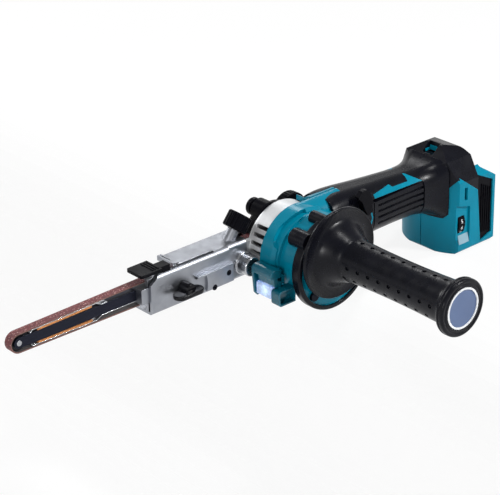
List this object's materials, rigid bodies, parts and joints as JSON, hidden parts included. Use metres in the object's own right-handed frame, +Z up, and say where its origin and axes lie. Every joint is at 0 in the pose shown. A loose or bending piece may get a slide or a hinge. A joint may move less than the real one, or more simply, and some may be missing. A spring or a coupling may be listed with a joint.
{
  "type": "cordless narrow belt sander",
  "caption": "Cordless narrow belt sander: a sanding arm with an abrasive belt on a swinging head, transverse motor case with side grip, paddle-switch handle and open battery bay.",
  "frame": {"origin": "on the spindle axis, in the middle plane of the abrasive belt", "axes": "+X to the tool's rear, along the belt and handle; -Y to the tool's left, along the side grip; +Z up"},
  "size_m": [0.4369, 0.2045, 0.0893],
  "materials": {
    "teal_plastic": "satin",
    "black_plastic": "fine texture",
    "rubber": "matte",
    "cast_aluminium": "die-cast, satin",
    "steel": "turned",
    "dark_steel": "blackened",
    "iron": "laminated",
    "abrasive": "fine grit on cloth",
    "pad_rubber": "matte",
    "clear_lens": "clear, moulded",
    "circuit_board": "satin",
    "white_plastic": "satin",
    "blue_plastic": "satin",
    "contact_brass": "plain"
  },
  "bodies": {
    "housing": {"motor_case": "teal_plastic", "case_screws": "steel", "bearing_plate": "cast_aluminium", "head_band": "teal_plastic", "right_shell": "teal_plastic", "bumper_ring": "rubber", "lamp_housing": "black_plastic", "lamp_lens": "clear_lens", "lamp_board": "circuit_board", "side_grip": "rubber", "grip_stud": "steel", "grip_end_ring": "white_plastic", "grip_end_cap": "blue_plastic", "left_body_shell": "black_plastic", "right_body_shell": "black_plastic", "left_rear_shell": "teal_plastic", "right_rear_shell": "teal_plastic", "grip_inserts": "teal_plastic", "paddle_pin": "steel", "switch_body": "black_plastic", "control_board": "circuit_board", "battery_rail": "black_plastic", "terminal_block": "black_plastic", "terminal_blades": "contact_brass", "stator": "iron", "left_bearing": "steel", "right_bearing": "steel"},
    "spindle": {"spindle": "steel", "drive_pulley": "steel", "pulley_screw": "steel", "rotor": "iron", "fan": "black_plastic"},
    "head": {"drive_collar": "cast_aluminium", "arm_holder": "cast_aluminium", "side_plate": "dark_steel", "side_plate_screws": "steel", "side_boss": "cast_aluminium", "boss_bolt": "steel", "belt_cover": "black_plastic", "abrasive_belt": "abrasive", "tension_spring": "steel"},
    "sanding_arm": {"slide_block": "cast_aluminium", "thumb_tab": "black_plastic", "arm_bar": "dark_steel", "upper_platen": "steel", "lower_platen": "steel", "upper_pad": "pad_rubber", "lower_pad": "pad_rubber", "nose_pin": "steel"},
    "nose_roller": {"nose_roller": "steel"},
    "cam_lever": {"cam_lever": "dark_steel"},
    "tracking_knob": {"tracking_knob": "black_plastic", "tracking_screw": "steel"},
    "clamp_knob": {"clamp_knob": "black_plastic"},
    "release_button": {"release_button": "black_plastic"},
    "switch_paddle": {"switch_paddle": "black_plastic"},
    "lock_lever": {"lock_lever": "black_plastic"},
    "speed_dial": {"speed_dial": "black_plastic"}
  },
  "joints": [
    {"name": "spindle_spin", "type": "hinge", "parent": "housing", "child": "spindle", "pos_m": [0, 0, 0], "axis": [0, 1, 0], "continuous": true},
    {"name": "head_swing", "type": "hinge", "parent": "housing", "child": "head", "pos_m": [0, 0, 0], "axis": [0, 1, 0], "range_deg": [-60, 45]},
    {"name": "arm_slide", "type": "slide", "parent": "head", "child": "sanding_arm", "axis": [1, 0, 0], "range_m": [0, 0.008], "stiffness_N_per_m": 1200, "springref_m": -0.01, "deforming": ["tension_spring", "abrasive_belt"]},
    {"name": "roller_spin", "type": "hinge", "parent": "sanding_arm", "child": "nose_roller", "pos_m": [-0.23946, 0, 0], "axis": [0, 1, 0], "continuous": true},
    {"name": "cam_turn", "type": "hinge", "parent": "head", "child": "cam_lever", "pos_m": [-0.103, -0.012, -0.007], "axis": [0, 1, 0], "range_deg": [0, 90]},
    {"name": "tracking_turn", "type": "hinge", "parent": "head", "child": "tracking_knob", "pos_m": [-0.0365, 0, 0.0245], "axis": [0.6293, 0, 0.7771], "range_deg": [-180, 180]},
    {"name": "clamp_turn", "type": "hinge", "parent": "head", "child": "clamp_knob", "pos_m": [0.0265, 0, 0.011], "axis": [0, 1, 0], "continuous": true},
    {"name": "button_push", "type": "slide", "parent": "head", "child": "release_button", "axis": [0, -1, 0], "range_m": [0, 0.003], "stiffness_N_per_m": 300, "springref_m": -0.002},
    {"name": "paddle_squeeze", "type": "hinge", "parent": "housing", "child": "switch_paddle", "pos_m": [0.1136, -0.024, 0.004], "axis": [0, 1, 0], "range_deg": [0, 2.5], "stiffness_Nm_per_rad": 2, "springref_deg": -2.86},
    {"name": "lock_turn", "type": "hinge", "parent": "housing", "child": "lock_lever", "pos_m": [0.054, -0.045, 0.029], "axis": [0, 1, 0], "range_deg": [0, 12], "stiffness_Nm_per_rad": 0.05, "springref_deg": -5.73},
    {"name": "dial_turn", "type": "hinge", "parent": "housing", "child": "speed_dial", "pos_m": [0.1524, -0.0418, -0.0216], "axis": [1, 0, 0], "range_deg": [0, 270]}
  ],
  "couplings": [
    {"joint": "roller_spin", "follows": "spindle_spin", "ratio": 1.5161}
  ]
}
